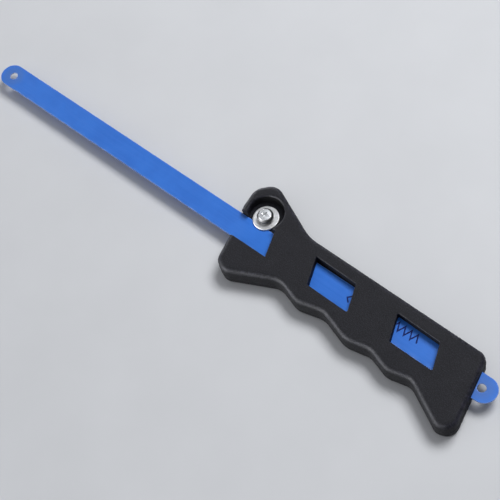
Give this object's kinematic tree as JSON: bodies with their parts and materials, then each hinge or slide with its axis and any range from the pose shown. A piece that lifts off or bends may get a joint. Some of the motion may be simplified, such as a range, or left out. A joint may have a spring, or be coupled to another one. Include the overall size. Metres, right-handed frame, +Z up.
{
  "type": "mini hacksaw",
  "caption": "Mini hacksaw: a full-length hacksaw blade clamped by a screw and washer in a one-piece moulded handle with finger grooves and see-through windows.",
  "frame": {"origin": "centre of the bounding box in plan, on the plane the saw rests on when it lies on the back of its handle", "axes": "+X along the blade from its free tip towards the butt of the handle, +Y from the teeth towards the spine, +Z up out of the front face where the clamp screw is"},
  "size_m": [0.315, 0.0528, 0.0115],
  "materials": {
    "black_plastic": "fine spark-eroded grain, black",
    "blue_enamel": "blue baked enamel on hardened steel, bright at the tooth tips",
    "zinc": "bright zinc plate",
    "spring_steel": "dark oiled spring steel",
    "zinc_washer": "bright zinc plate, stamped edge",
    "nut_steel": "zinc plate"
  },
  "bodies": {
    "handle": {"handle": "black_plastic", "captive_nut": "nut_steel"},
    "blade": {"blade": "blue_enamel"},
    "washers": {"flat_washer": "zinc_washer", "spring_washer": "spring_steel"},
    "screw": {"clamp_screw": "zinc"}
  },
  "joints": [
    {"name": "blade_slide", "type": "slide", "parent": "handle", "child": "blade", "axis": [1, 0, 0], "range_m": [-0.07, 0.12]},
    {"name": "washer_lift", "type": "slide", "parent": "handle", "child": "washers", "axis": [0, 0, 1], "range_m": [0, 0.0021]},
    {"name": "screw_turn", "type": "hinge", "parent": "washers", "child": "screw", "pos_m": [0.018, 0.01091, 0], "axis": [0, 0, 1], "range_deg": [0, 1080]}
  ],
  "couplings": [
    {"joint": "screw_turn", "follows": "washer_lift", "rad_per_m": 8976}
  ]
}
